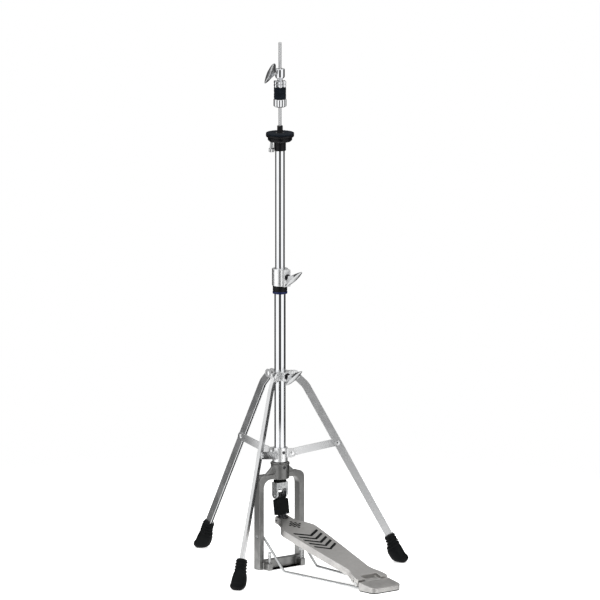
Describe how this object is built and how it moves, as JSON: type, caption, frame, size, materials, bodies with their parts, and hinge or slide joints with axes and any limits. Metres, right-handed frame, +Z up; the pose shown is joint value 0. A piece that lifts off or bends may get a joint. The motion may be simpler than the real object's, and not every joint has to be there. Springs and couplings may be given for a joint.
{
  "type": "hi-hat stand",
  "caption": "Tripod hi-hat stand: telescoping chrome column, cast yoke, chain-drive foot pedal, sprung pull rod, tilting cymbal seat and clutch with wing screw.",
  "frame": {"origin": "on the floor under the column's axis, on the underside of the yoke's base bar", "axes": "+Z up the column; -Y towards the heel of the pedal and the player; +X to the player's right"},
  "size_m": [0.4466, 0.5838, 1.047],
  "materials": {
    "chrome": "mirror-bright chrome plating",
    "satin_chrome": "satin chrome on pressed steel",
    "cast_aluminium": "satin cast aluminium, lightly tumbled",
    "zinc_steel": "zinc-plated steel",
    "dark_steel": "blackened steel",
    "spring_steel": "oiled spring steel",
    "brass_coupler": "turned brass",
    "black_plastic": "moulded black nylon",
    "white_nylon": "white nylon",
    "black_rubber": "moulded black rubber",
    "black_felt": "pressed black felt"
  },
  "bodies": {
    "base": {"lower_tube": "chrome", "tube_bushing": "black_plastic", "height_clamp": "chrome", "clamp_shoe": "white_nylon", "clamp_wing_washer": "black_plastic", "stay_collar": "chrome", "stay_collar_screw": "dark_steel", "stay_collar_rivets": "zinc_steel", "yoke_frame": "cast_aluminium", "yoke_key_screw": "dark_steel", "bumper_ring": "black_rubber", "return_spring": "spring_steel", "radius_rod": "zinc_steel", "heel_plate": "cast_aluminium", "heel_hinge_pin": "zinc_steel", "heel_rubber_pad": "black_rubber"},
    "upper_column": {"upper_tube": "chrome", "seat_base": "black_plastic", "seat_pivot_pin": "zinc_steel"},
    "seat": {"seat_cup": "black_plastic", "seat_felt": "black_felt"},
    "tilt_screw": {"tilt_screw": "zinc_steel"},
    "rod": {"pull_rod": "chrome", "rod_coupler": "brass_coupler", "lower_rod": "zinc_steel", "spring_collar": "black_plastic", "clevis": "zinc_steel", "rod_end_nut": "zinc_steel", "clevis_pin": "zinc_steel"},
    "chain": {"chain_plates": "dark_steel", "chain_pins": "dark_steel", "chain_sleeve": "black_rubber"},
    "pedal": {"footboard": "cast_aluminium", "toe_pin": "dark_steel"},
    "clutch": {"clutch_sleeve": "chrome", "clutch_felt_upper": "black_felt", "clutch_felt_lower": "black_felt"},
    "clutch_wing": {"clutch_wing": "chrome"},
    "lock_ring_upper": {"lock_ring_upper": "chrome"},
    "lock_ring_lower": {"lock_ring_lower": "chrome"},
    "clutch_nut": {"clutch_nut": "chrome"},
    "clamp_wing": {"clamp_wing": "chrome"},
    "hub": {"leg_hub": "chrome", "leg_pivot_pins": "zinc_steel", "hub_shoe": "white_nylon", "hub_wing_washer": "black_plastic"},
    "hub_wing": {"hub_wing": "chrome"},
    "leg_right": {"leg_right": "satin_chrome", "foot_right": "black_rubber"},
    "stay_right": {"stay_right": "satin_chrome"},
    "leg_left": {"leg_left": "satin_chrome", "foot_left": "black_rubber"},
    "stay_left": {"stay_left": "satin_chrome"},
    "leg_rear": {"leg_rear": "satin_chrome", "foot_rear": "black_rubber"},
    "stay_rear": {"stay_rear": "satin_chrome"},
    "spur_right": {"spur_right": "zinc_steel"},
    "spur_left": {"spur_left": "zinc_steel"}
  },
  "joints": [
    {"name": "height_adjust", "type": "slide", "parent": "base", "child": "upper_column", "axis": [0, 0, 1], "range_m": [-0.16, 0]},
    {"name": "seat_tilt", "type": "hinge", "parent": "upper_column", "child": "seat", "pos_m": [0.01884, -0.00505, 0.855], "axis": [0.2588, 0.9659, 0], "range_deg": [0, 3]},
    {"name": "tilt_screw_lift", "type": "slide", "parent": "upper_column", "child": "tilt_screw", "axis": [0, 0, 1], "range_m": [0, 0.002]},
    {"name": "pedal_press", "type": "hinge", "parent": "base", "child": "pedal", "pos_m": [0, -0.2755, 0.014], "axis": [-1, 0, 0], "range_deg": [0, 6], "stiffness_Nm_per_rad": 141, "springref_deg": -4.01},
    {"name": "rod_pull", "type": "slide", "parent": "base", "child": "rod", "axis": [0, 0, -1], "range_m": [0, 0.0279], "deforming": ["return_spring"]},
    {"name": "chain_swing", "type": "hinge", "parent": "rod", "child": "chain", "pos_m": [0, 0, 0.14524], "axis": [1, 0, 0], "range_deg": [0, 7.93]},
    {"name": "clutch_slide", "type": "slide", "parent": "rod", "child": "clutch", "axis": [0, 0, 1], "range_m": [-0.005, 0.05]},
    {"name": "clutch_wing_turn", "type": "hinge", "parent": "clutch", "child": "clutch_wing", "pos_m": [0, 0, 0.988], "axis": [-1, 0, 0], "range_deg": [0, 720]},
    {"name": "lock_ring_upper_turn", "type": "hinge", "parent": "clutch", "child": "lock_ring_upper", "pos_m": [0, 0, 0.967], "axis": [0, 0, 1], "range_deg": [0, 720]},
    {"name": "lock_ring_lower_turn", "type": "hinge", "parent": "clutch", "child": "lock_ring_lower", "pos_m": [0, 0, 0.961], "axis": [0, 0, 1], "range_deg": [0, 720]},
    {"name": "clutch_nut_turn", "type": "hinge", "parent": "clutch", "child": "clutch_nut", "pos_m": [0, 0, 0.926], "axis": [0, 0, 1], "range_deg": [0, 720]},
    {"name": "clamp_wing_turn", "type": "hinge", "parent": "base", "child": "clamp_wing", "pos_m": [0, 0, 0.581], "axis": [0, -1, 0], "range_deg": [0, 360]},
    {"name": "hub_lift", "type": "slide", "parent": "base", "child": "hub", "axis": [0, 0, 1], "range_m": [0, 0.088]},
    {"name": "hub_wing_turn", "type": "hinge", "parent": "hub", "child": "hub_wing", "pos_m": [0, 0, 0.383], "axis": [0, -1, 0], "range_deg": [0, 360]},
    {"name": "leg_right_fold", "type": "hinge", "parent": "hub", "child": "leg_right", "pos_m": [0.02598, -0.015, 0.383], "axis": [0.5, 0.866, 0], "range_deg": [0, 20.07]},
    {"name": "stay_right_swing", "type": "hinge", "parent": "base", "child": "stay_right", "pos_m": [0.02018, -0.01165, 0.227], "axis": [-0.5, -0.866, 0], "range_deg": [0, 55]},
    {"name": "leg_left_fold", "type": "hinge", "parent": "hub", "child": "leg_left", "pos_m": [-0.02598, -0.015, 0.383], "axis": [0.5, -0.866, 0], "range_deg": [0, 20.07]},
    {"name": "stay_left_swing", "type": "hinge", "parent": "base", "child": "stay_left", "pos_m": [-0.02018, -0.01165, 0.227], "axis": [-0.5, 0.866, 0], "range_deg": [0, 55]},
    {"name": "leg_rear_fold", "type": "hinge", "parent": "hub", "child": "leg_rear", "pos_m": [0, 0.03, 0.383], "axis": [-1, 0, 0], "range_deg": [0, 20.07]},
    {"name": "stay_rear_swing", "type": "hinge", "parent": "base", "child": "stay_rear", "pos_m": [0, 0.0233, 0.227], "axis": [1, 0, 0], "range_deg": [0, 55]},
    {"name": "spur_right_lift", "type": "slide", "parent": "base", "child": "spur_right", "axis": [0, 0, 1], "range_m": [0, 0.004]},
    {"name": "spur_left_lift", "type": "slide", "parent": "base", "child": "spur_left", "axis": [0, 0, 1], "range_m": [0, 0.004]}
  ],
  "couplings": [
    {"joint": "tilt_screw_lift", "follows": "seat_tilt", "m_per_rad": 0.0375},
    {"joint": "rod_pull", "follows": "pedal_press", "m_per_rad": 0.26645},
    {"joint": "chain_swing", "follows": "pedal_press", "ratio": 1.3208},
    {"joint": "leg_right_fold", "follows": "hub_lift", "rad_per_m": 3.9782},
    {"joint": "stay_right_swing", "follows": "hub_lift", "rad_per_m": 10.906},
    {"joint": "leg_left_fold", "follows": "hub_lift", "rad_per_m": 3.9782},
    {"joint": "stay_left_swing", "follows": "hub_lift", "rad_per_m": 10.906},
    {"joint": "leg_rear_fold", "follows": "hub_lift", "rad_per_m": 3.9782},
    {"joint": "stay_rear_swing", "follows": "hub_lift", "rad_per_m": 10.906}
  ]
}
